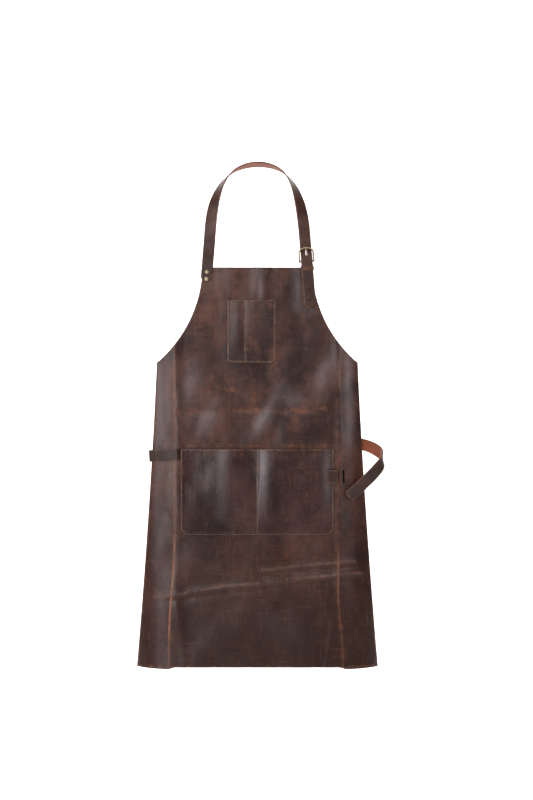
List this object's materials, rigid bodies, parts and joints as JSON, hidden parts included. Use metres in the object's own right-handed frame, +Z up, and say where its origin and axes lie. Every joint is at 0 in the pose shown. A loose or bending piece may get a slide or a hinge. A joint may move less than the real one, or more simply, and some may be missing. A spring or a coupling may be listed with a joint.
{
  "type": "leather work apron",
  "caption": "Bib work apron of waxed leather with a buckled neck strap, bib pocket, wide waist pocket and a loose waist strap, hanging by its neck loop.",
  "frame": {"origin": "where a hook bears, at the underside of the neck strap at the top of the loop", "axes": "+Z up along the hanging apron, -Y the side that faces the viewer when worn, +X to the viewer's right, where the buckle is"},
  "size_m": [0.5348, 0.0643, 1.0904],
  "materials": {
    "hide_leather": "waxed pull-up, satin",
    "strap_leather": "waxed, satin",
    "brass": "aged satin",
    "thread": "waxed thread"
  },
  "bodies": {
    "neck_loop": {"neck_strap": "strap_leather"},
    "apron": {"apron_body": "hide_leather", "bib_pocket": "hide_leather", "bib_pocket_stitches": "thread", "waist_pocket": "hide_leather", "waist_pocket_stitches": "thread", "neck_strap_riveted_end": "strap_leather", "strap_rivet_caps": "brass", "strap_rivet_backs": "brass", "buckle_tab": "strap_leather", "tab_rivet_caps": "brass", "tab_rivet_backs": "brass", "neck_strap_buckled": "strap_leather", "strap_keeper": "strap_leather", "waist_strap": "strap_leather", "waist_anchor_stitches": "thread", "waist_keeper": "strap_leather", "waist_keeper_stitches": "thread"},
    "buckle": {"buckle_frame": "brass", "buckle_bar": "brass"},
    "prong": {"buckle_prong": "brass"},
    "strap_tail": {"neck_strap_tail": "strap_leather"},
    "waist_end": {"waist_strap_end": "strap_leather"}
  },
  "joints": [
    {"name": "apron_swing", "type": "hinge", "parent": "neck_loop", "child": "apron", "pos_m": [0, 0, -0.165], "axis": [1, 0, 0], "range_deg": [-45, 45]},
    {"name": "buckle_tilt", "type": "hinge", "parent": "apron", "child": "buckle", "pos_m": [0.1063, -0.00183, -0.20687], "axis": [0.9969, 0, 0.0785], "range_deg": [0, 4]},
    {"name": "prong_lift", "type": "hinge", "parent": "buckle", "child": "prong", "pos_m": [0.1063, -0.00183, -0.20687], "axis": [0.9969, 0, 0.0785], "range_deg": [0, 4]},
    {"name": "strap_tail_lift", "type": "hinge", "parent": "apron", "child": "strap_tail", "pos_m": [0.10811, -0.0104, -0.22995], "axis": [0.9969, 0, 0.0785], "range_deg": [-75, 0]},
    {"name": "waist_strap_swing", "type": "hinge", "parent": "apron", "child": "waist_end", "pos_m": [0.21415, 0.0182, -0.6], "axis": [-0.0574, 0, 0.9984], "range_deg": [0, 70]}
  ]
}
